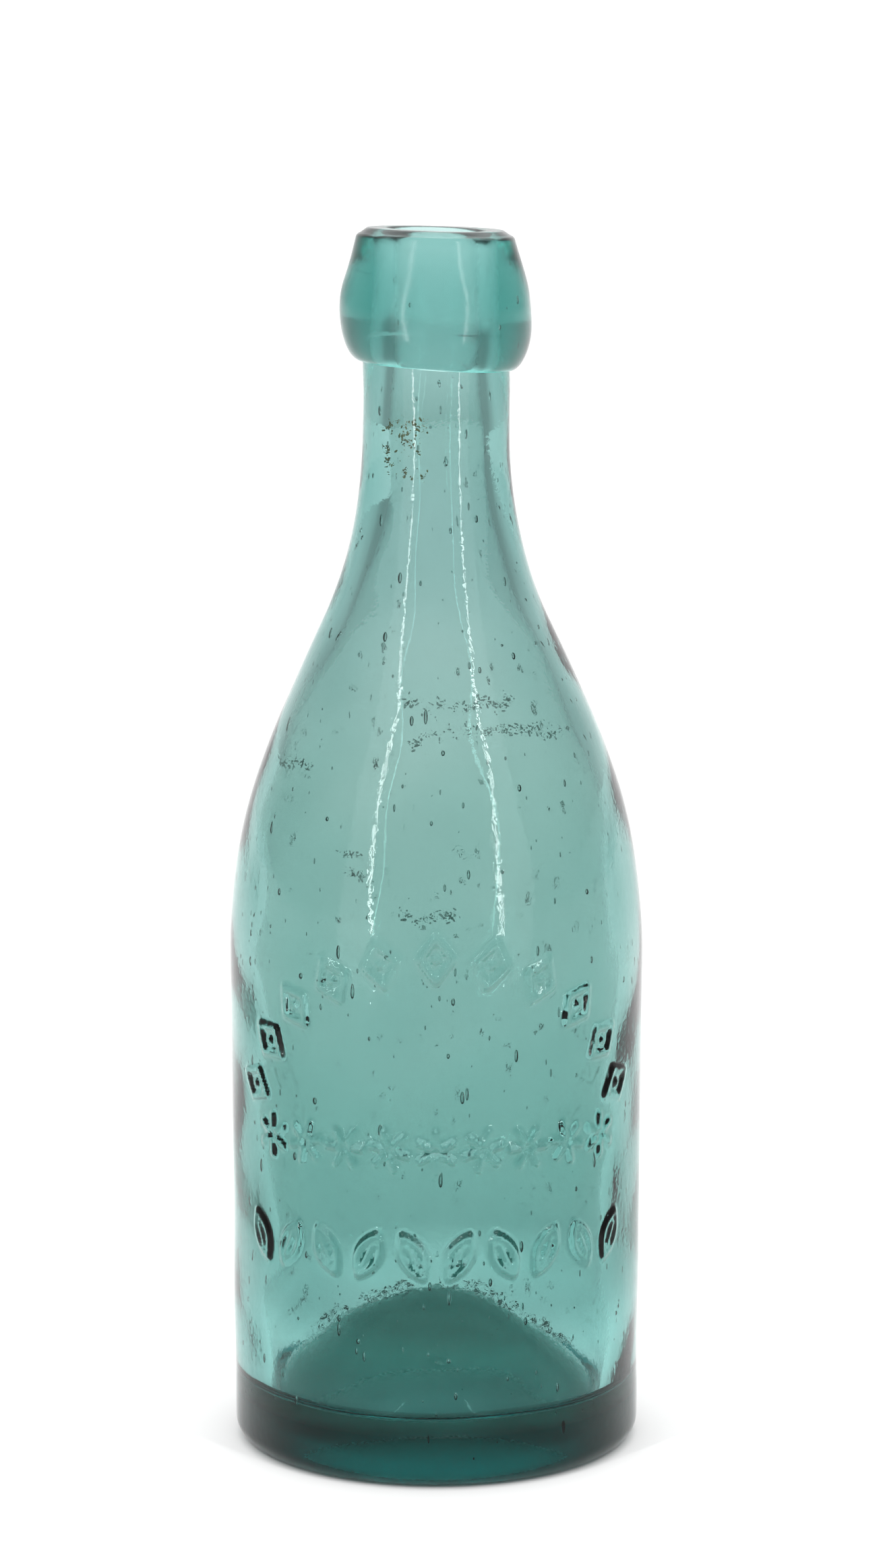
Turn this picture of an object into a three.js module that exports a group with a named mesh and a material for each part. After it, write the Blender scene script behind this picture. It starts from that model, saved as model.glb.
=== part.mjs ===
// A 19th-century blob-top soda bottle: a vessel blown in a mould, and a heavy rounded lip laid on its
// neck as a second gather of hot glass. The two pieces of glass are fused, so nothing on the bottle moves.
// Millimetres, +Z up. The origin is the centre of the ring that the bottle stands on.

import * as THREE from "three";

// ---- Driving dimensions ----

const HEIGHT = 186; // from the standing ring to the top of the rim
const AROUND = 48; // facets round the axis
const ARC_STEP = 6; // degrees of turn in each facet of a tight curve
const LONG_ARC_STEP = 3.2; // the same on the long curves of the shoulder

// Body and shoulder, outside
const BODY_RADIUS = 31.6; // where the shoulder springs, the widest place
const BODY_TAPER = 0.4; // how much narrower the mould is just above the heel
const HEEL_ROUND = 3;
const NECK_RADIUS = 11.1;
const SHOULDER_ANGLE = 25; // between the straight part of the shoulder and the axis, in degrees
const SHOULDER_ROUND = 91; // the convex curve out of the body
const NECK_SWEEP = 66; // the concave curve into the neck
const NECK_LENGTH = 16; // straight neck, up to its sheared end inside the lip

// Glass thickness, measured level
const FOOT_WALL = 5.6; // just above the floor
const BARREL_WALL = 4.1; // where the shoulder springs
const SHOULDER_WALL = 3.6;
const NECK_WALL = 3.9;

// Base
const STANDING_RING = 1.8; // width of the flat ring that the bottle stands on
const HEEL_THICKNESS = 9.3; // of the glass under the gutter round the push-up
const CROWN_THICKNESS = 8.7; // of the glass at the top of the push-up
const PUSH_UP = 13; // height of the domed hollow under the bottle
const FLOOR_ROUND = 1.6; // where the wall meets the gutter

// Lip
const BORE_RADIUS = 6.3;
const LIP_HEIGHT = 20.4;
const NECK_IN_LIP = 5.4; // how far the neck's end stands inside the lip
const LIP_RADIUS = 14.5;
const BULGE_HEIGHT = 12.7; // the widest place, down from the rim
const BULGE_ROUND = 18; // the curve above the widest place
const LIP_TAPER = 16.7; // slope of the lip's side above that curve, in degrees
const RIM_CORNER = 0.9; // round of the rim's outer edge
const RIM_FALL = 0.7; // how far the rim's outer corner lies below its flat top
const RIM_EDGE = 1.8; // from the rim's outermost point in to its flat top
const MOUTH_FLARE = 1.5; // from the bore out to the flat top
const MOUTH_DEPTH = 3.4; // of that flare
const FUSED_GAP = 0.02; // between the two gathers, which keeps them separate solids
const NECK_END_ROUND = 1.2;

// ---- Heights and radii that follow ----

const heelRadius = BODY_RADIUS - BODY_TAPER;
const lipFoot = HEIGHT - LIP_HEIGHT;
const neckEnd = lipFoot + NECK_IN_LIP;
const neckStart = neckEnd - NECK_LENGTH;
const slope = THREE.MathUtils.degToRad(SHOULDER_ANGLE);
const taper = THREE.MathUtils.degToRad(LIP_TAPER);

// ---- Curves in the half-plane of radius and height ----

const at = (radius, height) => new THREE.Vector2(radius, height);

// Points on an ellipse from one angle to another, both ends included; 0 degrees points away from the axis.
function curve(centre, halfWidth, halfHeight, from, to, step = ARC_STEP) {
  const steps = Math.max(2, Math.ceil(Math.abs(to - from) / step));
  return Array.from({ length: steps + 1 }, (_, i) => {
    const turn = THREE.MathUtils.degToRad(from + ((to - from) * i) / steps);
    return at(centre.x + halfWidth * Math.cos(turn), centre.y + halfHeight * Math.sin(turn));
  });
}

const round = (centre, radius, from, to, step) => curve(centre, radius, radius, from, to, step);

// The outside from the heel to the neck's end: a barrel with a slight taper, a convex curve, a straight
// cone and a concave curve, each tangent to the next. The cone takes up whatever the two curves leave.
function outerWall() {
  const curvesFall = (SHOULDER_ROUND + NECK_SWEEP) * (1 - Math.cos(slope));
  const coneLength = (BODY_RADIUS - NECK_RADIUS - curvesFall) / Math.sin(slope);
  const curvesRise = (SHOULDER_ROUND + NECK_SWEEP) * Math.sin(slope);
  const shoulderStart = neckStart - curvesRise - coneLength * Math.cos(slope);
  const shoulderCentre = at(BODY_RADIUS - SHOULDER_ROUND, shoulderStart);
  const sweepCentre = at(NECK_RADIUS + NECK_SWEEP, neckStart);
  return [
    at(heelRadius, HEEL_ROUND),
    at((heelRadius + BODY_RADIUS) / 2, (HEEL_ROUND + shoulderStart) / 2),
    ...round(shoulderCentre, SHOULDER_ROUND, 0, SHOULDER_ANGLE, LONG_ARC_STEP),
    ...round(sweepCentre, NECK_SWEEP, 180 + SHOULDER_ANGLE, 180, LONG_ARC_STEP),
    at(NECK_RADIUS, lipFoot),
    at(NECK_RADIUS, neckEnd - NECK_END_ROUND),
  ];
}

// Glass thickness at a height: it thins up to the middle of the shoulder, and thickens again to the bore.
function wallAt(height, shoulderStart) {
  const { clamp, lerp, smoothstep } = THREE.MathUtils;
  const floor = HEEL_THICKNESS + FLOOR_ROUND;
  const midShoulder = (shoulderStart + neckStart) / 2;
  if (height < shoulderStart) {
    const up = clamp((height - floor) / (shoulderStart - floor), 0, 1);
    return lerp(FOOT_WALL, BARREL_WALL, up * up);
  }
  if (height < midShoulder) {
    return lerp(BARREL_WALL, SHOULDER_WALL, smoothstep(height, shoulderStart, midShoulder));
  }
  if (height < neckStart) {
    return lerp(SHOULDER_WALL, NECK_WALL, smoothstep(height, midShoulder, neckStart));
  }
  return lerp(NECK_WALL, NECK_RADIUS - BORE_RADIUS, smoothstep(height, neckStart, neckEnd));
}

// A dome in section, from its top on the axis out to its foot.
function dome(top, foot) {
  const rise = top - foot.y;
  const radius = (rise * rise + foot.x * foot.x) / (2 * rise);
  const spread = THREE.MathUtils.radToDeg(Math.asin(foot.x / radius));
  return round(at(0, top - radius), radius, 90, 90 - spread);
}

// ---- The pieces ----

// The vessel's section: from the axis under the base, up the outside, over the neck's end, down the inside.
function bodySection() {
  const outside = outerWall();
  const shoulderStart = outside[2].y;
  const ringOuter = heelRadius - HEEL_ROUND;
  const ringInner = ringOuter - STANDING_RING;
  const underside = dome(PUSH_UP, at(ringInner, 0));
  const heel = round(at(ringOuter, HEEL_ROUND), HEEL_ROUND, -90, 0, 15).slice(0, -1);
  const end = round(at(NECK_RADIUS - NECK_END_ROUND, neckEnd - NECK_END_ROUND), NECK_END_ROUND, 0, 90, 30);
  const gutter = HEEL_THICKNESS + FLOOR_ROUND;
  const inside = outside
    .filter((p) => p.y > gutter)
    .map((p) => at(p.x - wallAt(p.y, shoulderStart), p.y))
    .reverse();
  const footRadius = heelRadius - FOOT_WALL;
  const floorCorner = round(at(footRadius - FLOOR_ROUND, gutter), FLOOR_ROUND, 0, -90, 18);
  const floorFoot = at(footRadius - FLOOR_ROUND, HEEL_THICKNESS);
  const floor = dome(PUSH_UP + CROWN_THICKNESS, floorFoot).reverse();
  return [
    ...underside,
    ...heel,
    ...outside,
    ...end.slice(1),
    at(BORE_RADIUS, neckEnd),
    ...inside,
    ...floorCorner,
    ...floor.slice(1),
  ];
}

// The lip's section, a closed loop: up its outside from the neck, over the rim, down the bore and back
// round the neck's end.
function lipSection() {
  const widest = HEIGHT - BULGE_HEIGHT;
  const seatRadius = NECK_RADIUS + FUSED_GAP;
  const seatTop = neckEnd + FUSED_GAP;
  const under = curve(at(seatRadius, widest), LIP_RADIUS - seatRadius, widest - lipFoot, -90, 0, 10);
  const over = round(at(LIP_RADIUS - BULGE_ROUND, widest), BULGE_ROUND, 0, LIP_TAPER, 5);
  const cornerHeight = HEIGHT - RIM_FALL - RIM_CORNER;
  const taperStart = over[over.length - 1];
  const cornerReach = RIM_CORNER * Math.cos(taper);
  const cornerRadius = taperStart.x - (cornerHeight - taperStart.y) * Math.tan(taper) - cornerReach;
  const corner = round(at(cornerRadius, cornerHeight), RIM_CORNER, LIP_TAPER, 75, 20);
  const flatOuter = cornerRadius + RIM_CORNER - RIM_EDGE;
  const flareCentre = at(BORE_RADIUS + MOUTH_FLARE, HEIGHT - MOUTH_DEPTH);
  const flare = curve(flareCentre, MOUTH_FLARE, MOUTH_DEPTH, 90, 180, 18);
  const seatRound = NECK_END_ROUND + FUSED_GAP;
  const seat = round(at(seatRadius - seatRound, seatTop - seatRound), seatRound, 90, 0, 30);
  return [
    ...under,
    ...over.slice(1),
    ...corner,
    at(flatOuter, HEIGHT),
    ...flare,
    at(BORE_RADIUS, seatTop),
    ...seat,
    under[0],
  ];
}

function turned(name, section, material) {
  const mesh = new THREE.Mesh(new THREE.LatheGeometry(section, AROUND), material);
  mesh.name = name;
  mesh.rotation.x = Math.PI / 2; // a lathe turns about Y, and the bottle stands along Z
  return mesh;
}

const bodyGlass = new THREE.MeshStandardMaterial({
  color: 0x7fb5ae,
  roughness: 0.08,
  metalness: 0,
  transparent: true,
  opacity: 0.6,
});
const lipGlass = new THREE.MeshStandardMaterial({
  color: 0x6eada5,
  roughness: 0.1,
  metalness: 0,
  transparent: true,
  opacity: 0.7,
});

const bottle = new THREE.Group();
bottle.name = "bottle";
bottle.add(turned("blown_body", bodySection(), bodyGlass));
bottle.add(turned("applied_lip", lipSection(), lipGlass));

export default bottle;
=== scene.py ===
import math

import bpy
import numpy as np
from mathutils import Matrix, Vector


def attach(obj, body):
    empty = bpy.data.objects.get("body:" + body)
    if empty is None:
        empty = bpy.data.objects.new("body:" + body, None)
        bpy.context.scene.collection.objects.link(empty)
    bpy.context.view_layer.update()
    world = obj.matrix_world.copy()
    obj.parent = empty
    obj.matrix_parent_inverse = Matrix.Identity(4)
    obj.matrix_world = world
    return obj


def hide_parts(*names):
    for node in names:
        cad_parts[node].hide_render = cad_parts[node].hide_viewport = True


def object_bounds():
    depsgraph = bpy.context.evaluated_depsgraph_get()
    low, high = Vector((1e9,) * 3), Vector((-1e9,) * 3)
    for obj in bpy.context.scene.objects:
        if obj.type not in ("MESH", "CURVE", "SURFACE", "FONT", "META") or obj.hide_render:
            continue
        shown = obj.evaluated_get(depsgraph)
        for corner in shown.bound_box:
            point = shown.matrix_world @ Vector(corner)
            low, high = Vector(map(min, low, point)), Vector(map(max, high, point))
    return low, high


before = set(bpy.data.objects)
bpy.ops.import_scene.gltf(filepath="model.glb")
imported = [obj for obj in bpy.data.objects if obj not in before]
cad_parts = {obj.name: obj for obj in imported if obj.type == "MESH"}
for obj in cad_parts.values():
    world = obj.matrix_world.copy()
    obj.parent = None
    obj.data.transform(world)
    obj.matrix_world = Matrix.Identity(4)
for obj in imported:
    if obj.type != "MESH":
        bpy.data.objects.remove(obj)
cad_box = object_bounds()

# ---- The blown body ----
# The vessel itself: one gather of aqua bottle glass, blown into a mould whose walls carried the raised
# ornament, with its base pushed up while it was hot. One wall of glass, thick at the foot and thin at
# the shoulder, and wavier inside, where only air touched it, than outside, where the mould did.

MM = 0.001
HEIGHT = round(cad_box[1][2] / MM, 1)
BODY_RADIUS = round(cad_box[1][0] / MM, 1)
BODY_TAPER = 0.4
HEEL_ROUND = 3.0
NECK_RADIUS = 11.1
SHOULDER_ROUND = 91.0
NECK_SWEEP = 66.0
SHOULDER_ANGLE = math.radians(25)
NECK_LENGTH = 16.0
NECK_END_ROUND = 1.2
FOOT_WALL = 5.6
BARREL_WALL = 4.1
SHOULDER_WALL = 3.6
NECK_WALL = 3.9
STANDING_RING = 1.8
RING_EDGE = 0.5
HEEL_THICKNESS = 9.3
CROWN_THICKNESS = 8.7
PUSH_UP = 13.0
FLOOR_ROUND = 1.6
BORE_RADIUS = 6.3
LIP_HEIGHT = 20.4
NECK_IN_LIP = 5.4

heel_radius = BODY_RADIUS - BODY_TAPER
lip_foot = HEIGHT - LIP_HEIGHT
neck_end = lip_foot + NECK_IN_LIP
neck_start = neck_end - NECK_LENGTH
curves = SHOULDER_ROUND + NECK_SWEEP
cone = (BODY_RADIUS - NECK_RADIUS - curves * (1 - math.cos(SHOULDER_ANGLE))) / math.sin(SHOULDER_ANGLE)
shoulder_start = neck_start - curves * math.sin(SHOULDER_ANGLE) - cone * math.cos(SHOULDER_ANGLE)
gutter_top = HEEL_THICKNESS + FLOOR_ROUND


def arc(centre, radius, start, end, step):
    """Points on a circle in the half-plane of radius and height, between two angles in radians."""
    count = max(2, math.ceil(abs(end - start) * radius / step))
    turn = np.linspace(start, end, count + 1)
    return np.column_stack([centre[0] + radius * np.cos(turn), centre[1] + radius * np.sin(turn)])


def line(start, end, step):
    """Evenly spaced points from start to end, both included."""
    count = max(1, math.ceil(math.dist(start, end) / step))
    return np.linspace(start, end, count + 1)


def chain(*runs):
    """Joins runs of points end to end, leaving out each point that repeats the one before."""
    points = np.vstack(runs)
    moved = np.linalg.norm(np.diff(points, axis=0), axis=1) > 1e-3
    return points[np.concatenate([[True], moved])]


def dome(top, foot, step):
    """A dome in section, from its top on the axis out to its foot."""
    rise = top - foot[1]
    radius = (rise**2 + foot[0] ** 2) / (2 * rise)
    return arc((0, top - radius), radius, math.pi / 2, math.pi / 2 - math.asin(foot[0] / radius), step)


def under_and_heel():
    """The outside from the axis under the push-up, over the standing ring and up round the heel."""
    ring_outer = heel_radius - HEEL_ROUND
    ring_inner = ring_outer - STANDING_RING
    return chain(
        dome(PUSH_UP, (ring_inner - RING_EDGE, RING_EDGE), 1.2),
        arc((ring_inner, RING_EDGE), RING_EDGE, math.pi, 1.5 * math.pi, 0.25),
        line((ring_inner, 0), (ring_outer, 0), 0.6),
        arc((ring_outer, HEEL_ROUND), HEEL_ROUND, -math.pi / 2, 0, 0.5),
    )


def barrel_and_neck(step):
    """The outside from above the heel to the sheared end of the neck."""
    shoulder_centre = (BODY_RADIUS - SHOULDER_ROUND, shoulder_start)
    shoulder = arc(shoulder_centre, SHOULDER_ROUND, 0, SHOULDER_ANGLE, step)
    sweep = arc((NECK_RADIUS + NECK_SWEEP, neck_start), NECK_SWEEP, math.pi + SHOULDER_ANGLE, math.pi, step)
    return chain(
        line((heel_radius, HEEL_ROUND), (BODY_RADIUS, shoulder_start), step),
        shoulder,
        line(shoulder[-1], sweep[0], step),
        sweep,
        line((NECK_RADIUS, neck_start), (NECK_RADIUS, lip_foot), step),
        line((NECK_RADIUS, lip_foot), (NECK_RADIUS, neck_end - NECK_END_ROUND), step),
        arc((NECK_RADIUS - NECK_END_ROUND, neck_end - NECK_END_ROUND), NECK_END_ROUND, 0, math.pi / 2, 0.4),
    )


def wall_at(z):
    """Glass thickness, measured level, at each height."""

    def ease(a, b):
        t = np.clip((z - a) / (b - a), 0, 1)
        return t * t * (3 - 2 * t)

    middle = (shoulder_start + neck_start) / 2
    up = np.clip((z - gutter_top) / (shoulder_start - gutter_top), 0, 1)
    wall = FOOT_WALL + (BARREL_WALL - FOOT_WALL) * up**2
    wall = wall + (SHOULDER_WALL - BARREL_WALL) * ease(shoulder_start, middle)
    wall = wall + (NECK_WALL - SHOULDER_WALL) * ease(middle, neck_start)
    return wall + (NECK_RADIUS - BORE_RADIUS - NECK_WALL) * ease(neck_start, neck_end)


def inside():
    """The inside from the neck's end down the wall, round the gutter and over the floor to the axis."""
    wall = barrel_and_neck(1.3)
    wall = wall[wall[:, 1] < neck_end - NECK_END_ROUND + 0.01]
    heights = np.linspace(neck_end, gutter_top, 125)
    radii = np.interp(heights, wall[:, 1], wall[:, 0]) - wall_at(heights)
    foot = (heel_radius - FOOT_WALL - FLOOR_ROUND, HEEL_THICKNESS)
    return chain(
        np.column_stack([radii, heights]),
        arc((foot[0], gutter_top), FLOOR_ROUND, 0, -math.pi / 2, 0.5),
        dome(PUSH_UP + CROWN_THICKNESS, foot, 1.2)[::-1],
    )


RELIEF_HEIGHT = 0.8
RELIEF_WIDTH = 0.7
ARCH_RADIUS = 35.0
ARCH_CENTRE = 46.0
FLAT_ROWS = {"rosettes": 52.0, "leaves": 36.0}


def placed(strokes, across, up, turn):
    """Strokes of a motif, each (x0, y0, x1, y1), turned clockwise and moved to a place on the wall."""
    c, s = math.cos(turn), math.sin(turn)
    ends = strokes.reshape(-1, 2) @ np.array([[c, -s], [s, c]])
    return (ends + [across, up]).reshape(-1, 4)


def path(points):
    """The strokes that join points one after another."""
    points = np.array(points)
    return np.hstack([points[:-1], points[1:]])


LOZENGE_HALF_HEIGHT, LOZENGE_HALF_WIDTH = 3.3, 2.4
PETAL_START, PETAL_END = 1.1, 2.9
LEAF_HALF_LENGTH, LEAF_HALF_WIDTH, RIB_HALF_LENGTH = 3.5, 1.55, 2.0


def lozenge():
    """An upright lozenge with a dot in the middle."""
    tall, wide = LOZENGE_HALF_HEIGHT, LOZENGE_HALF_WIDTH
    dot = [[0, 0.1, 0, -0.1]]
    return np.vstack([path([(0, tall), (wide, 0), (0, -tall), (-wide, 0), (0, tall)]), dot])


def rosette():
    """Six petals, each one stroke away from the middle."""
    ways = [(math.sin(a), math.cos(a)) for a in np.radians(range(0, 360, 60))]
    return np.array([(PETAL_START * x, PETAL_START * y, PETAL_END * x, PETAL_END * y) for x, y in ways])


def leaf():
    """Two bowed edges and a rib."""
    bend = np.linspace(-1, 1, 9)
    side = LEAF_HALF_WIDTH * (1 - bend**2)
    edges = [path(np.column_stack([x, bend * LEAF_HALF_LENGTH])) for x in (side, -side)]
    return np.vstack(edges + [[[0, -RIB_HALF_LENGTH, 0, RIB_HALF_LENGTH]]])


def ornament():
    """Every stroke of the raised ornament: an arched row of lozenges over rows of rosettes and leaves."""
    strokes = []
    for turn in np.radians(np.linspace(-68, 68, 11)):
        across, up = ARCH_RADIUS * math.sin(turn), ARCH_CENTRE + ARCH_RADIUS * math.cos(turn)
        strokes.append(placed(lozenge(), across, up, turn))
    for i, across in enumerate(np.linspace(-28, 28, 9)):
        strokes.append(placed(rosette(), across, FLAT_ROWS["rosettes"], 0.26 * i))
    for i, across in enumerate(np.linspace(-31, 31, 10)):
        strokes.append(placed(leaf(), across, FLAT_ROWS["leaves"], 0.45 if i % 2 else -0.45))
    return np.vstack(strokes)


def to_strokes(here, strokes):
    """How far each flat point is from the nearest stroke."""
    nearest = np.full(len(here), 99.0)
    for x0, y0, x1, y1 in strokes:
        start, run = np.array([x0, y0]), np.array([x1 - x0, y1 - y0])
        along = np.clip((here - start) @ run / (run @ run), 0, 1)
        nearest = np.minimum(nearest, np.linalg.norm(here - start - along[:, None] * run, axis=1))
    return nearest


def relief(points):
    """How far each point of the wall stands out with the ornament."""
    across = BODY_RADIUS * np.arctan2(points[:, 0], -points[:, 1])
    nearest = to_strokes(np.column_stack([across, points[:, 2]]), ornament())
    t = np.clip(1.25 - nearest / RELIEF_WIDTH, 0, 1)
    return RELIEF_HEIGHT * t * t * (3 - 2 * t)


def ripples(points, wavelength, seed):
    """A smooth random field of unit size at each point: waves of about one length from all directions."""
    rng = np.random.default_rng(seed)
    total = np.zeros(len(points))
    for _ in range(24):
        way = rng.normal(size=3)
        way *= 2 * np.pi / np.linalg.norm(way) / (wavelength * rng.uniform(0.7, 1.5))
        total += np.sin(points @ way + rng.uniform(0, 2 * np.pi))
    return total / math.sqrt(12)


def turned(section, angles):
    """Rings of points, one for each point of the section. Angle 0 is the front, and grows to the right."""
    x = section[:, :1] * np.sin(angles)
    y = section[:, :1] * -np.cos(angles)
    z = np.repeat(section[:, 1:], len(angles), axis=1)
    return np.stack([x, y, z], axis=2).reshape(-1, 3)


def outwards(points):
    """The level unit vector away from the axis at each point."""
    level = points * [1, 1, 0]
    return level / np.maximum(np.linalg.norm(level, axis=1), 1e-6)[:, None]


def rings(count, around, first, close=False):
    """Quads between rings of points that follow each other."""
    faces = []
    for r in range(count if close else count - 1):
        a0, b0 = first + r * around, first + (r + 1) % count * around
        for c in range(around):
            d = (c + 1) % around
            faces.append((a0 + c, a0 + d, b0 + d, b0 + c))
    return faces


def stitch(fine, coarse, around, up):
    """Joins a ring to one with half as many points. up says that the fine ring comes first."""
    faces = []
    for c in range(around):
        d = (c + 1) % around
        a, b, e = fine + 2 * c, fine + 2 * c + 1, fine + 2 * d
        p, q = coarse + c, coarse + d
        corners = [(a, b, p), (b, q, p), (b, e, q)]
        faces += corners if up else [t[::-1] for t in corners]
    return faces


def fan(ring, around, pole, up):
    """Closes a ring to one point on the axis."""
    faces = [(ring + c, ring + (c + 1) % around, pole) for c in range(around)]
    return faces if up else [t[::-1] for t in faces]


def new_piece(name, points, faces, materials):
    """An object at the origin from points in millimetres, smooth but for its sharp edges."""
    mesh = bpy.data.meshes.new(name)
    mesh.from_pydata((points * MM).tolist(), [], faces)
    mesh.validate()
    mesh.shade_smooth()
    mesh.set_sharp_from_angle(angle=math.radians(50))
    for material in materials:
        mesh.materials.append(material)
    piece = bpy.data.objects.new(name, mesh)
    bpy.context.scene.collection.objects.link(piece)
    return piece


def hex_colour(code):
    """An sRGB hex colour as linear RGBA."""
    channels = [int(code[i : i + 2], 16) / 255 for i in (1, 3, 5)]
    return [c / 12.92 if c <= 0.04045 else ((c + 0.055) / 1.055) ** 2.4 for c in channels] + [1.0]


def add(tree, kind, inputs=None, **settings):
    """Adds a node, sets its properties, and sets or links its inputs by name or number."""
    node = tree.nodes.new(kind)
    for key, value in settings.items():
        setattr(node, key, value)
    for key, value in (inputs or {}).items():
        if isinstance(value, bpy.types.NodeSocket):
            tree.links.new(value, node.inputs[key])
        else:
            node.inputs[key].default_value = value
    return node


def new_material(name):
    """A material, its node tree and its shader."""
    material = bpy.data.materials.new(name)
    material.use_nodes = True
    return material, material.node_tree, material.node_tree.nodes["Principled BSDF"]


# How much of each colour a millimetre of the glass takes up.
IRON_TINT = (0.109, 0.0505, 0.055)


def attribute(tree, name):
    return add(tree, "ShaderNodeAttribute", attribute_name=name).outputs["Fac"]


def blend(tree, share, first, second):
    """A colour part of the way from the first to the second."""
    return add(tree, "ShaderNodeMix", {0: share, 6: first, 7: second}, data_type="RGBA").outputs[2]


def ramp(tree, value, stops):
    """Colours set along a value and blended in between. A stop is a place from 0 to 1 and a hex colour."""
    node = add(tree, "ShaderNodeValToRGB", {"Fac": value})
    elements = node.color_ramp.elements
    elements.remove(elements[1])
    for i, (place, code) in enumerate(stops):
        element = elements[0] if i == 0 else elements.new(place)
        element.position, element.color = place, hex_colour(code)
    return node.outputs[0]


# What the surface lets through at each height in millimetres, matched: dark at the thick foot, where the
# stops up to 8.3 mm are painted shade, clearest round the push-up and at the lip.
PASSED_AND_FOOT_SHADE = [(0, "#106468"), (8.3, "#106468"), (10.5, "#ffffff"), (20, "#f6fffe"), (26, "#cadad8"),
          (40, "#cfdfdc"), (100, "#dee6e3"), (142, "#dee6e5"), (158, "#dee8e6"), (169, "#ffffff")]
UNDER_PASSED = "#ffffff"
# In millimetres: how far apart the cloudy patches of the weathered film are, and the pits of the mould's
# skin, and how deep the pits are.
FILM_PATCH = 16.7
PIT_SPACING = 0.9
PIT_DEPTH = 0.02
CLEAR_ROUGHNESS = 0.01
FILM_ROUGHNESS = 0.06
TOOLED_ROUGHNESS = 0.13
WORN_ROUGHNESS = 0.35


def aqua_glass():
    """Soda-lime bottle glass, coloured by iron in the sand, with a weathered, faintly pebbled skin, and
    painted shade at its foot.

    The faces where body and lip are fused are see-through, so the two pieces look like one glass.
    """
    material, tree, shader = new_material("aqua_bottle_glass")
    shader.inputs["Transmission Weight"].default_value = 1.0
    shader.inputs["IOR"].default_value = 1.51
    shader.inputs["Specular Tint"].default_value = [0.3, 0.3, 0.3, 1.0]
    where = add(tree, "ShaderNodeTexCoord").outputs["Object"]
    up = add(tree, "ShaderNodeSeparateXYZ", {0: where}).outputs["Z"]
    cloud = {"Vector": where, "Scale": 1 / (FILM_PATCH * MM), "Detail": 6.0, "Roughness": 0.6}
    haze = add(tree, "ShaderNodeTexNoise", cloud).outputs[0]
    reach = {"Value": haze, "From Min": 0.45, "From Max": 0.7}
    reach.update({"To Min": CLEAR_ROUGHNESS, "To Max": FILM_ROUGHNESS})
    film = add(tree, "ShaderNodeMapRange", reach).outputs[0]
    reach = {"Value": up, "From Min": lip_foot * MM, "From Max": neck_end * MM, "To Max": TOOLED_ROUGHNESS}
    tooled = add(tree, "ShaderNodeMapRange", reach).outputs[0]
    under = attribute(tree, "worn")
    worn = add(tree, "ShaderNodeMath", {0: under, 1: WORN_ROUGHNESS, 2: film}, operation="MULTIPLY_ADD")
    rough = add(tree, "ShaderNodeMath", {0: worn.outputs[0], 1: tooled}, operation="ADD")
    tree.links.new(rough.outputs[0], shader.inputs["Roughness"])
    height = add(tree, "ShaderNodeMapRange", {"Value": up, "From Max": HEIGHT * MM}).outputs[0]
    # The dark stops at the foot paint shade into the glass's colour.
    passed_and_foot_shade = ramp(tree, height, [(z / HEIGHT, code) for z, code in PASSED_AND_FOOT_SHADE])
    passed_and_foot_shade = blend(tree, under, passed_and_foot_shade, hex_colour(UNDER_PASSED))
    bloom = blend(tree, haze, hex_colour("#ffffff"), hex_colour("#f2f3f3"))
    tint = add(tree, "ShaderNodeMix", {0: 1.0, 6: passed_and_foot_shade, 7: bloom}, data_type="RGBA", blend_type="MULTIPLY")
    tree.links.new(tint.outputs[2], shader.inputs["Base Color"])
    grain = {"Vector": where, "Scale": 1 / (PIT_SPACING * MM), "Detail": 2.0, "Roughness": 0.5}
    pebble = add(tree, "ShaderNodeTexNoise", grain)
    pits = {"Height": pebble.outputs[0], "Strength": attribute(tree, "moulded"), "Distance": PIT_DEPTH * MM}
    bump = add(tree, "ShaderNodeBump", pits)
    tree.links.new(bump.outputs[0], shader.inputs["Normal"])
    skin = add(tree, "ShaderNodeMath", {0: 1.0, 1: attribute(tree, "fused")}, operation="SUBTRACT")
    tree.links.new(skin.outputs[0], shader.inputs["Alpha"])
    density = max(IRON_TINT) / MM
    kept = [1 - taken / MM / density for taken in IRON_TINT] + [1.0]
    volume = add(tree, "ShaderNodeVolumeAbsorption", {"Color": kept, "Density": density})
    tree.links.new(volume.outputs[0], tree.nodes["Material Output"].inputs["Volume"])
    return material


def mark(piece, name, domain, values):
    """Stores a number on each face or point, for the material to read."""
    values = np.asarray(values, dtype=np.float32)
    piece.data.attributes.new(name, "FLOAT", domain).data.foreach_set("value", values)


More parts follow.
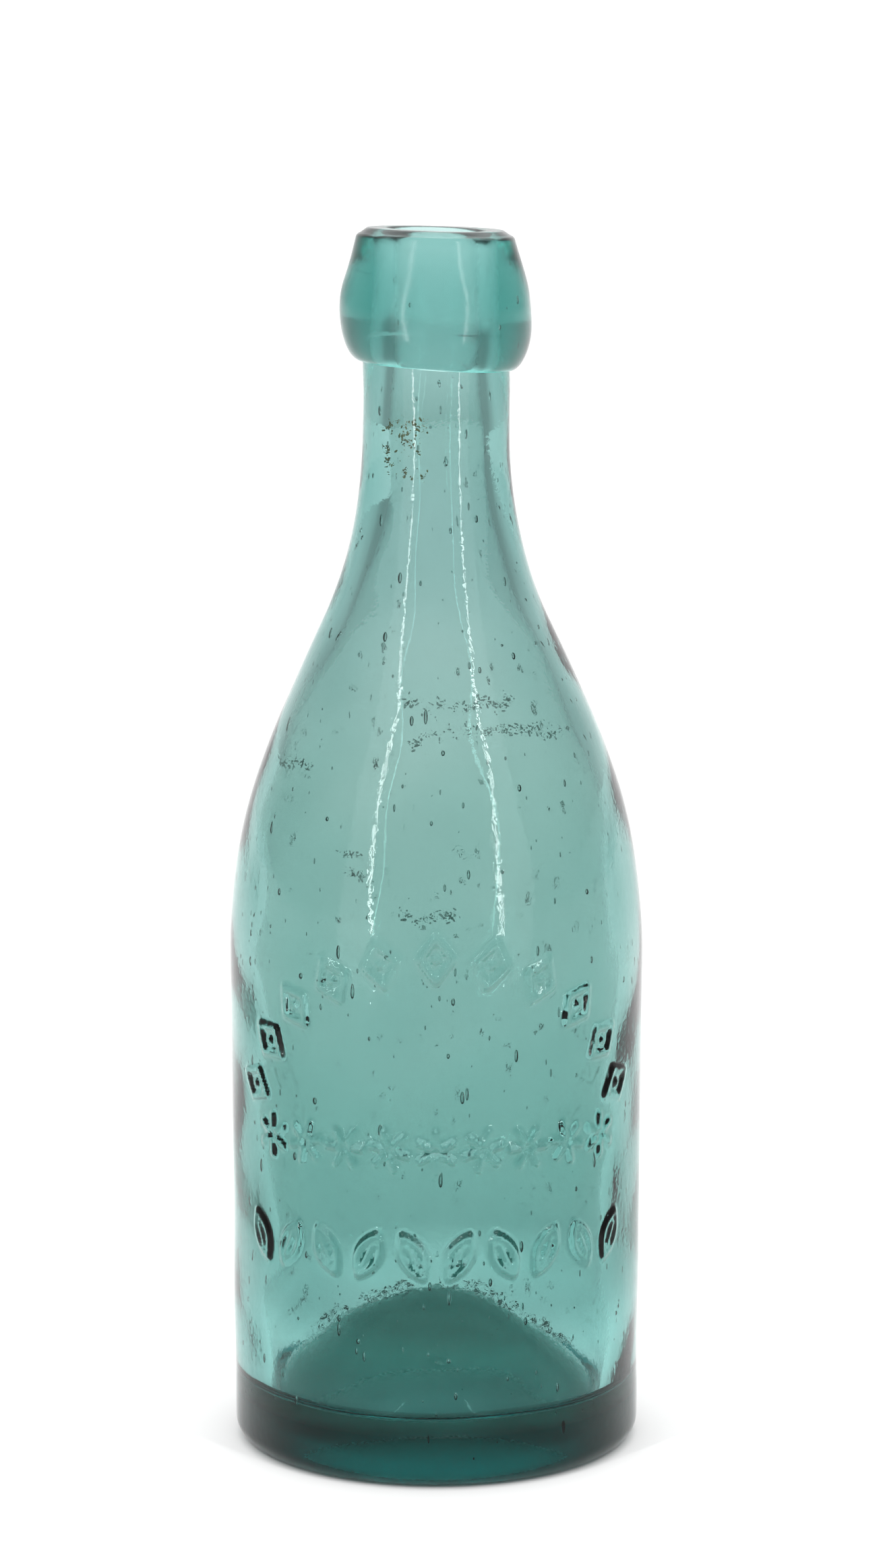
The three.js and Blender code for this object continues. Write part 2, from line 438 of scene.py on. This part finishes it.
def scatter_tree(name, material, bead, upright):
    """Small beads on random points of a surface, thick where its own amount is high, and sunk below it."""
    tree = bpy.data.node_groups.new(name, "GeometryNodeTree")
    tree.interface.new_socket("Beads", in_out="OUTPUT", socket_type="NodeSocketGeometry")
    tree.interface.new_socket("Surface", in_out="INPUT", socket_type="NodeSocketGeometry")
    measures = ("Per Square Metre", "Smallest", "Largest", "Rarity", "Shallowest", "Deepest", "Long", "Thick")
    for label in measures:
        tree.interface.new_socket(label, in_out="INPUT", socket_type="NodeSocketFloat")
    tree.interface.new_socket("Pattern", in_out="INPUT", socket_type="NodeSocketInt")
    given = add(tree, "NodeGroupInput").outputs

    def maths(operation, first, second):
        return add(tree, "ShaderNodeMath", {0: first, 1: second}, operation=operation).outputs[0]

    def chance(low, high, salt):
        value = {2: low, 3: high, "Seed": salt}
        return add(tree, "FunctionNodeRandomValue", value, data_type="FLOAT").outputs[1]

    amount = add(tree, "GeometryNodeInputNamedAttribute", {"Name": "amount"}, data_type="FLOAT").outputs[0]
    density = maths("MULTIPLY", amount, given["Per Square Metre"])
    where = {"Mesh": given["Surface"], "Density": density, "Seed": given["Pattern"]}
    spread = add(tree, "GeometryNodeDistributePointsOnFaces", where)
    depth = maths("MULTIPLY", chance(given["Shallowest"], given["Deepest"], 1), -1.0)
    offset = {0: spread.outputs["Normal"], "Scale": depth}
    sink = add(tree, "ShaderNodeVectorMath", offset, operation="SCALE").outputs[0]
    moved = {"Geometry": spread.outputs["Points"], "Offset": sink}
    sunk = add(tree, "GeometryNodeSetPosition", moved).outputs[0]
    rare = maths("POWER", chance(0.0, 1.0, 2), given["Rarity"])
    sizes = {"Value": rare, "To Min": given["Smallest"], "To Max": given["Largest"]}
    size = add(tree, "ShaderNodeMapRange", sizes).outputs[0]
    stretch = chance(1.0, given["Long"], 3)
    shape = {"X": 1.0, "Y": 1.0, "Z": stretch} if upright else {"X": 1.0, "Y": stretch, "Z": given["Thick"]}
    long = add(tree, "ShaderNodeCombineXYZ", shape).outputs[0]
    scale = add(tree, "ShaderNodeVectorMath", {0: long, "Scale": size}, operation="SCALE").outputs[0]
    each = {"Points": sunk, "Instance": bead(tree), "Scale": scale}
    if not upright:
        twist = add(tree, "ShaderNodeCombineXYZ", {"Z": chance(0.0, 6.28, 4)}).outputs[0]
        turn = {"Rotation": spread.outputs["Rotation"], "Rotate By": twist}
        each["Rotation"] = add(tree, "FunctionNodeRotateRotation", turn, rotation_space="LOCAL").outputs[0]
    beads = add(tree, "GeometryNodeInstanceOnPoints", each).outputs[0]
    whole = add(tree, "GeometryNodeRealizeInstances", {"Geometry": beads}).outputs[0]
    smooth = add(tree, "GeometryNodeSetShadeSmooth", {"Geometry": whole}).outputs[0]
    finished = add(tree, "GeometryNodeSetMaterial", {"Geometry": smooth, "Material": material}).outputs[0]
    add(tree, "NodeGroupOutput", {"Beads": finished})
    return tree


def bubble(tree):
    """A round hollow: a ball whose faces look inwards, as the glass round it does."""
    ball = add(tree, "GeometryNodeMeshUVSphere", {"Segments": 6, "Rings": 5, "Radius": 1.0}).outputs[0]
    return add(tree, "GeometryNodeFlipFaces", {"Mesh": ball}).outputs[0]


def crumb(tree):
    """A rough grain of dirt."""
    return add(tree, "GeometryNodeMeshIcoSphere", {"Radius": 1.0, "Subdivisions": 1}).outputs[0]


def scatter(name, surface, amount, material, bead, upright=False, **sizes):
    """Spreads beads over an object that this uses up, and returns them as one plain piece."""
    mark(surface, "amount", "POINT", amount)
    tree = scatter_tree(name, material, bead, upright)
    modifier = surface.modifiers.new(name, "NODES")
    modifier.node_group = tree
    for item in tree.interface.items_tree:
        if item.in_out == "INPUT" and item.name in sizes:
            modifier[item.identifier] = sizes[item.name]
    ready = surface.evaluated_get(bpy.context.evaluated_depsgraph_get())
    mesh = bpy.data.meshes.new_from_object(ready)
    mesh.name = name
    piece = bpy.data.objects.new(name, mesh)
    bpy.context.scene.collection.objects.link(piece)
    bpy.data.objects.remove(surface)
    return piece


def join(whole, part):
    """Makes a part one object with the whole."""
    with bpy.context.temp_override(active_object=whole, selected_editable_objects=[whole, part]):
        bpy.ops.object.join()


LIP_SLANT = 0.75
LIP_SLANT_REACH = 5.0


def lip_slant(points):
    """The lip's lower edge runs lower on the right. How far points near it move down or up to follow."""
    across = outwards(points)[:, 0]
    near = np.clip(1 - np.abs(points[:, 2] - lip_foot) / LIP_SLANT_REACH, 0, 1)
    return -LIP_SLANT * across * near * near * (3 - 2 * near)


# The mould opens front to back, so what is cut in it is shallower towards the sides: this share there.
SIDE_RELIEF = 0.3
# Ripples are fainter outside, where the mould pressed, and die out there at the foot. Inside and out they
# die out where the lip is fused on.
OUTER_RIPPLE = 0.05
OUTER_RIPPLE_LENGTH = 15
STILL_FOOT = 12
STILL_BELOW_LIP = 4
STILL_BELOW_NECK_END = 6
INNER_RIPPLE = 0.14
INNER_RIPPLE_LENGTH = 19
RELIEF_FOOT, RELIEF_TOP = 29.0, 88.0
ORNAMENT_EDGE = math.radians(67)
fine_columns = np.concatenate([
    np.linspace(-ORNAMENT_EDGE, ORNAMENT_EDGE, 187)[:-1],
    np.linspace(ORNAMENT_EDGE, 2 * math.pi - ORNAMENT_EDGE, 91)[:-1],
])
coarse_columns = fine_columns[::2]
wall_section = barrel_and_neck(1.1)
relief_section = barrel_and_neck(0.46)
below = chain(under_and_heel()[1:], wall_section[wall_section[:, 1] < RELIEF_FOOT - 0.6])
between = relief_section[(relief_section[:, 1] > RELIEF_FOOT) & (relief_section[:, 1] < RELIEF_TOP)]
above = wall_section[wall_section[:, 1] > RELIEF_TOP + 0.6]
within = inside()[:-1]

belts = [(below, coarse_columns), (between, fine_columns), (above, coarse_columns), (within, coarse_columns)]
shells = [turned(section, angles) for section, angles in belts]
firsts = np.cumsum([0] + [len(s) for s in shells])
outer_points = np.vstack(shells[:3])
fade = np.clip(outer_points[:, 2] / STILL_FOOT, 0, 1)
calm = np.clip((lip_foot - outer_points[:, 2]) / STILL_BELOW_LIP, 0, 1)
facing = np.clip(-outwards(outer_points)[:, 1], 0, 1) ** 2
raised = relief(outer_points) * (SIDE_RELIEF + (1 - SIDE_RELIEF) * facing)
swell = fade * calm * OUTER_RIPPLE * ripples(outer_points, OUTER_RIPPLE_LENGTH, 1)
outer_points = outer_points + outwards(outer_points) * (swell + raised)[:, None]
outer_points[:, 2] += lip_slant(outer_points)
calm = np.clip((neck_end - shells[3][:, 2]) / STILL_BELOW_NECK_END, 0, 1)
waves = calm * INNER_RIPPLE * ripples(shells[3], INNER_RIPPLE_LENGTH, 2)
inner_points = shells[3] + outwards(shells[3]) * waves[:, None]
points = np.vstack([outer_points, inner_points, [[0, 0, PUSH_UP]], [[0, 0, PUSH_UP + CROWN_THICKNESS]]])
n_fine, n_coarse = len(fine_columns), len(coarse_columns)


def last(belt, around):
    """The first point of a belt's last ring."""
    return firsts[belt + 1] - around


faces = (
    fan(0, n_coarse, len(points) - 2, up=False)
    + rings(len(below), n_coarse, 0)
    + stitch(firsts[1], last(0, n_coarse), n_coarse, up=False)
    + rings(len(between), n_fine, firsts[1])
    + stitch(last(1, n_fine), firsts[2], n_coarse, up=True)
    + rings(len(above), n_coarse, firsts[2])
)
shear = rings(2, n_coarse, 0)
faces += [tuple(i + (last(2, n_coarse) if i < n_coarse else firsts[3] - n_coarse) for i in f) for f in shear]
faces += rings(len(within), n_coarse, firsts[3])
faces += fan(last(3, n_coarse), n_coarse, len(points) - 1, up=True)

aqua = aqua_glass()
body = new_piece("bottle_body", points, [tuple(int(i) for i in f) for f in faces], [aqua])
in_lip = np.zeros(len(points), dtype=bool)
in_lip[: firsts[3]] = np.vstack(shells[:3])[:, 2] > lip_foot - 0.01
in_lip[firsts[3] : firsts[3] + n_coarse] = True
mark(body, "fused", "FACE", [all(in_lip[i] for i in face.vertices) for face in body.data.polygons])
under = np.hypot(points[:, 0], points[:, 1]) < heel_radius - HEEL_ROUND + 0.8
under &= points[:, 2] < PUSH_UP + 1
under[firsts[3] : len(points) - 2] = False
mark(body, "worn", "POINT", under)
mark(body, "moulded", "POINT", (np.arange(len(points)) < firsts[3]) & ~under)

outside = turned(wall_section, coarse_columns)
skin = new_piece("skin", outside, rings(len(wall_section), n_coarse, 0), [])
in_wall = (outside[:, 2] > 5) & (outside[:, 2] < lip_foot - 1.5)
seeds = {"Per Square Metre": 30000.0, "Smallest": 0.08 * MM, "Largest": 0.36 * MM, "Rarity": 3.0,
         "Shallowest": 0.8 * MM, "Deepest": 2.7 * MM, "Long": 4.0, "Pattern": 3}
join(body, scatter("seeds", skin, in_wall, aqua, bubble, upright=True, **seeds))
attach(body, "root")
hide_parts("blown_body")

# ---- The applied lip ----
# A second gather of the same glass, laid hot round the sheared end of the neck and rolled to a bulge with
# a lipping tool. It is fused on: its lower edge laps on the neck, a little lower on the right.

LIP_RADIUS = 14.5
BULGE_HEIGHT = 12.7
BULGE_ROUND = 18.0
LIP_TAPER = math.radians(16.7)
RIM_CORNER = 0.9
RIM_FALL = 0.7
RIM_EDGE = 1.8
MOUTH_FLARE = 1.5
MOUTH_DEPTH = 3.4
# The hairline that is left between neck and lip, so that the two solids don't overlap.
FUSED_GAP = 0.02
RIM_SLANT = 0.28
LIP_RIPPLE = 0.07
LIP_RIPPLE_LENGTH = 11
LIP_SKIN_RINGS = 60


def oval(centre, half_width, half_height, start, end, count):
    """Points on an ellipse in the half-plane of radius and height, between two angles in degrees."""
    turn = np.radians(np.linspace(start, end, count))
    return np.column_stack([centre[0] + half_width * np.cos(turn), centre[1] + half_height * np.sin(turn)])


def lip_section():
    """The lip cut through: the side that is glass to see, and the side that is fused to the neck."""
    widest = HEIGHT - BULGE_HEIGHT
    seat, seat_top = NECK_RADIUS + FUSED_GAP, neck_end + FUSED_GAP
    bend = NECK_END_ROUND + FUSED_GAP
    under = oval((seat, widest), LIP_RADIUS - seat, widest - lip_foot, -90, 0, 26)
    over = arc((LIP_RADIUS - BULGE_ROUND, widest), BULGE_ROUND, 0, LIP_TAPER, 0.4)
    corner_height = HEIGHT - RIM_FALL - RIM_CORNER
    lean = (corner_height - over[-1][1]) * math.tan(LIP_TAPER)
    corner_radius = over[-1][0] - lean - RIM_CORNER * math.cos(LIP_TAPER)
    corner = arc((corner_radius, corner_height), RIM_CORNER, LIP_TAPER, math.radians(75), 0.15)
    flat_outer = (corner_radius + RIM_CORNER - RIM_EDGE, HEIGHT)
    mouth = oval((BORE_RADIUS + MOUTH_FLARE, HEIGHT - MOUTH_DEPTH), MOUTH_FLARE, MOUTH_DEPTH, 90, 180, 14)
    seat_bend = arc((seat - bend, seat_top - bend), bend, math.pi / 2, 0, 0.4)
    glass = chain(
        under, over, line(over[-1], corner[0], 0.5), corner, line(corner[-1], flat_outer, 0.4),
        line(flat_outer, mouth[0], 0.5), mouth, line(mouth[-1], (BORE_RADIUS, seat_top), 0.7),
    )
    seat_flat = line((BORE_RADIUS, seat_top), seat_bend[0], 0.8)
    joint = chain(seat_flat, seat_bend, line(seat_bend[-1], under[0], 0.7))
    return glass, joint[1:-1]


glass_side, joint_side = lip_section()
section = np.vstack([glass_side, joint_side])
lip_columns = np.linspace(0, 2 * math.pi, 181)[:-1]
lip_points = turned(section, lip_columns)
n_lip = len(lip_columns)
on_glass = np.repeat(np.arange(len(section)) < len(glass_side), n_lip)
up = np.clip((lip_points[:, 2] - lip_foot) / LIP_HEIGHT, 0, 1)
across = outwards(lip_points)[:, 0]
slanted = -LIP_SLANT * across * (1 - up) ** 2 - RIM_SLANT * across * up**2
lip_points[:, 2] += np.where(on_glass, slanted, lip_slant(lip_points))
hollow = np.repeat(section[:, 0] < BORE_RADIUS + 0.01, n_lip)
swell = LIP_RIPPLE * ripples(lip_points, LIP_RIPPLE_LENGTH, 5)
wave = np.where(hollow, 0.0, swell) * on_glass * np.clip(up * 6, 0, 1)
lip_points = lip_points + outwards(lip_points) * wave[:, None]
lip = new_piece("lip", lip_points, rings(len(section), n_lip, 0, close=True), [aqua])
in_joint = ~on_glass
in_joint[:n_lip] = True
in_joint[(len(glass_side) - 1) * n_lip : len(glass_side) * n_lip] = True
mark(lip, "fused", "FACE", [all(in_joint[i] for i in face.vertices) for face in lip.data.polygons])
mark(lip, "worn", "POINT", np.zeros(len(lip_points)))
mark(lip, "moulded", "POINT", on_glass & ~hollow)

outside = lip_points[: LIP_SKIN_RINGS * n_lip]
skin = new_piece("skin", outside, rings(LIP_SKIN_RINGS, n_lip, 0), [])
seeds.update({"Pattern": 8, "Deepest": 3.0 * MM, "Shallowest": 0.9 * MM})
in_bulge = (outside[:, 2] > lip_foot + 3) & (outside[:, 2] < HEIGHT - 4)
join(lip, scatter("lip_seeds", skin, in_bulge, aqua, bubble, upright=True, **seeds))
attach(lip, "root")
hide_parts("applied_lip")

# ---- The rust in the neck ----
# Brown crumbs left on the inside of the neck by an iron-wired closure or by rusty water, dried on in a
# patch on the left of the front, with a little more on the right.


def matt(name, dark, light, grain, cover):
    """Dry dirt: no shine, and mottled from one crumb to the next, in spots of a grain in millimetres."""
    material, tree, shader = new_material(name)
    shader.inputs["Roughness"].default_value = 0.95
    shader.inputs["Alpha"].default_value = cover
    where = add(tree, "ShaderNodeTexCoord").outputs["Object"]
    spots = {"Vector": where, "Scale": 1 / (grain * MM), "Detail": 4.0, "Roughness": 0.7}
    mottle = add(tree, "ShaderNodeTexNoise", spots).outputs[0]
    tone = add(tree, "ShaderNodeMapRange", {"Value": mottle, "From Min": 0.35, "From Max": 0.65}).outputs[0]
    tree.links.new(blend(tree, tone, hex_colour(dark), hex_colour(light)), shader.inputs["Base Color"])
    return material


def smear(points, marks, width, seed):
    """How thick dirt lies on the inside wall: in clots near each mark, given in degrees and heights."""
    radius = np.hypot(points[:, 0], points[:, 1])
    across = radius * np.arctan2(points[:, 0], -points[:, 1])
    here = np.column_stack([across, points[:, 2]])
    total = np.zeros(len(points))
    for turn0, z0, turn1, z1 in marks:
        reach = np.interp((z0 + z1) / 2, within[:, 1][::-1], within[:, 0][::-1])
        stroke = [(reach * math.radians(turn0), z0, reach * math.radians(turn1), z1 + 0.01)]
        total = np.maximum(total, np.exp(-((to_strokes(here, stroke) / width) ** 2)))
    return total * np.clip(0.6 + ripples(points, 1.6, seed), 0, 1)


def wall_patch(low, high):
    """The front of the inside wall between two heights, finely divided, to spread dirt on."""
    section = within[(within[:, 1] > low) & (within[:, 1] < high)]
    heights = np.arange(low, high, 0.45)
    section = np.column_stack([np.interp(heights, section[::-1, 1], section[::-1, 0]), heights])
    columns = np.linspace(-1.3, 1.3, 150)
    points = turned(section, columns)
    waves = INNER_RIPPLE * ripples(points, INNER_RIPPLE_LENGTH, 2)
    points = points + outwards(points) * waves[:, None]
    count = len(columns)
    faces = [(r * count + c, (r + 1) * count + c, (r + 1) * count + c + 1, r * count + c + 1)
             for r in range(len(heights) - 1) for c in range(count - 1)]
    return new_piece("patch", points, faces, []), points


patch, spots = wall_patch(144, 160)
rust_marks = [
    (-58, 157.2, -15, 157.2), (-40, 156, -22, 153.5), (-60, 154, -52, 153), (-62, 151.8, -42, 150.4),
    (-42, 150.4, -15, 149.8),
]
flakes = {"Per Square Metre": 1.6e7, "Smallest": 0.04 * MM, "Largest": 0.2 * MM, "Rarity": 2.5,
          "Shallowest": 0.02 * MM, "Deepest": 0.1 * MM, "Long": 2.5, "Thick": 0.35, "Pattern": 5}
dried_rust = matt("dried_rust", "#84714f", "#b59d76", 1.1, 0.8)
rust = scatter("neck_rust", patch, smear(spots, rust_marks, 0.8, 11), dried_rust, crumb, **flakes)
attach(rust, "root")

# ---- The tide marks ----
# Thin grey-green silt where stale water stood and dried: a wavy line round the front of the shoulder, with
# clots under it. It is stuck to the inside of the wall.

TIDE_LEVEL = 116.3


def tide_at(turn):
    """How high the stale water reached at each turn round the front, in degrees."""
    return TIDE_LEVEL + 0.5 * math.sin(turn * 0.4)


tide_line = [(a, tide_at(a), a + 2, tide_at(a + 2)) for a in range(-13, 32, 2)]
patch, spots = wall_patch(74, 126)
tide_marks = tide_line + [
    (-9, 111.2, 7, 113.0), (-6, 111.8, 2, 112.4), (7, 112.9, 45, 112.2), (45, 112.2, 60, 111.8),
    (46, 111.2, 52, 111.4), (-70, 106.6, -50, 106.3), (-30, 95.2, -25, 94.6), (-27, 92.6, -22, 91.8),
    (-10, 87.0, -4, 86.2), (-4, 86.2, 5, 86.8),
]
flakes = {"Per Square Metre": 2.2e7, "Smallest": 0.03 * MM, "Largest": 0.2 * MM, "Rarity": 3.0,
          "Shallowest": 0.02 * MM, "Deepest": 0.1 * MM, "Long": 3.0, "Thick": 0.35, "Pattern": 6}
dried_silt = matt("dried_silt", "#4c6862", "#869c95", 1.4, 0.45)
tide = scatter("tide_marks", patch, smear(spots, tide_marks, 0.6, 12), dried_silt, crumb, **flakes)
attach(tide, "root")

# ---- The sediment ----
# Fine dark silt that settled on the domed floor, thickest just behind its crest. It lies loose, heaped up
# to 1.6 mm above the glass.

floor_section = within[within[:, 1] < PUSH_UP + CROWN_THICKNESS]
floor_section = floor_section[floor_section[:, 0] < heel_radius - FOOT_WALL - 1.0]
floor_columns = np.linspace(0, 2 * math.pi, 97)[:-1]
spots = turned(floor_section, floor_columns)
bed = new_piece("bed", spots, rings(len(floor_section), len(floor_columns), 0), [])
settled = 0.001 + 1.2 * np.exp(-(((spots[:, 1] - 8) / 2.2) ** 2)) * np.clip(0.5 + ripples(spots, 7, 13), 0, 1)
flakes = {"Per Square Metre": 3.2e6, "Smallest": 0.06 * MM, "Largest": 0.4 * MM, "Rarity": 2.5,
          "Shallowest": -1.6 * MM, "Deepest": 0.05 * MM, "Long": 2.0, "Thick": 0.5, "Pattern": 7}
silt = scatter("sediment", bed, settled, matt("silt", "#26403a", "#4c635b", 2.0, 0.7), crumb, **flakes)
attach(silt, "root")

# ---- Floor, light and camera ----
# The bottle stands on white paper in a pale studio: brightest behind it, dimmer to the sides, with
# a narrow and a wide strip light on each side in front, and a soft light overhead. The backdrop is plain
# white to the camera from every side.

bpy.ops.mesh.primitive_plane_add(size=12)
floor = bpy.context.object
floor.name = "floor"
# Matt white paper has no shine, so only the bottle's soft shadow shows on it.
paper, tree, shader = new_material("white_paper")
shader.inputs["Base Color"].default_value = hex_colour("#dedede")
shader.inputs["Roughness"].default_value = 0.9
shader.inputs["Specular IOR Level"].default_value = 0.0
floor.data.materials.append(paper)

ROOM_LIGHT = 0.55
BEHIND_LIGHT = 0.5
OVERHEAD_LIGHT = 1.5
BACKDROP = 1.05
scene = bpy.context.scene
world = bpy.data.worlds.new("studio")
world.use_nodes = True
scene.world = world
tree = world.node_tree
sky = tree.nodes["Background"]
sky.inputs["Color"].default_value = [1, 1, 1, 1]
way = add(tree, "ShaderNodeTexCoord").outputs["Generated"]
level = add(tree, "ShaderNodeVectorMath", {0: way, 1: (1, 1, 0)}, operation="MULTIPLY")
level = add(tree, "ShaderNodeVectorMath", {0: level.outputs[0]}, operation="NORMALIZE")
towards = add(tree, "ShaderNodeSeparateXYZ", {0: level.outputs[0]})
from_behind = {"Value": towards.outputs["Y"], "From Min": 0.55, "From Max": 0.95, "To Max": BEHIND_LIGHT}
behind = add(tree, "ShaderNodeMapRange", from_behind, interpolation_type="SMOOTHSTEP")
raised = add(tree, "ShaderNodeSeparateXYZ", {0: way})
from_above = {"Value": raised.outputs["Z"], "From Min": 0.45, "From Max": 0.7, "To Max": OVERHEAD_LIGHT}
overhead = add(tree, "ShaderNodeMapRange", from_above, interpolation_type="SMOOTHSTEP")
sides = add(tree, "ShaderNodeMath", {0: behind.outputs[0], 1: ROOM_LIGHT}, operation="ADD")
total = add(tree, "ShaderNodeMath", {0: sides.outputs[0], 1: overhead.outputs[0]}, operation="ADD")
seen = add(tree, "ShaderNodeLightPath")
strength = add(tree, "ShaderNodeMix", {0: seen.outputs["Is Camera Ray"], 2: total.outputs[0], 3: BACKDROP})
tree.links.new(strength.outputs[0], sky.inputs["Strength"])

STRIP_AWAY, STRIP_TALL, STRIP_MIDDLE = 0.42, 0.6, 0.3
STRIP_TURN = math.radians(36)
for side in (-1, 1):
    turn = STRIP_TURN * side
    for width, radiance, shift in ((0.012, 34.0, 0.0), (0.12, 1.7, 0.06)):
        data = bpy.data.lights.new("strip", "AREA")
        data.shape = "RECTANGLE"
        data.size, data.size_y = width, STRIP_TALL
        data.energy = radiance * math.pi * width * STRIP_TALL
        light = bpy.data.objects.new("strip", data)
        away = turn + side * shift / STRIP_AWAY
        light.location = (STRIP_AWAY * math.sin(away), -STRIP_AWAY * math.cos(away), STRIP_MIDDLE)
        light.rotation_euler = (math.pi / 2, 0, away)
        scene.collection.objects.link(light)

LOOK_DOWN = 9.47
IMAGE_HEIGHT = 2325
FOCAL_LENGTH = 6810.9
camera = bpy.data.objects.new("camera", bpy.data.cameras.new("camera"))
scene.collection.objects.link(camera)
camera.location = (0.0008, -0.6908, 0.2171)
camera.rotation_euler = (math.radians(90 - LOOK_DOWN), 0, 0)
camera.data.sensor_width = 36
camera.data.lens = FOCAL_LENGTH / IMAGE_HEIGHT * camera.data.sensor_width
scene.camera = camera
scene.view_settings.view_transform = "Standard"
scene.cycles.max_bounces = 24
scene.cycles.transmission_bounces = 24
scene.cycles.transparent_max_bounces = 32
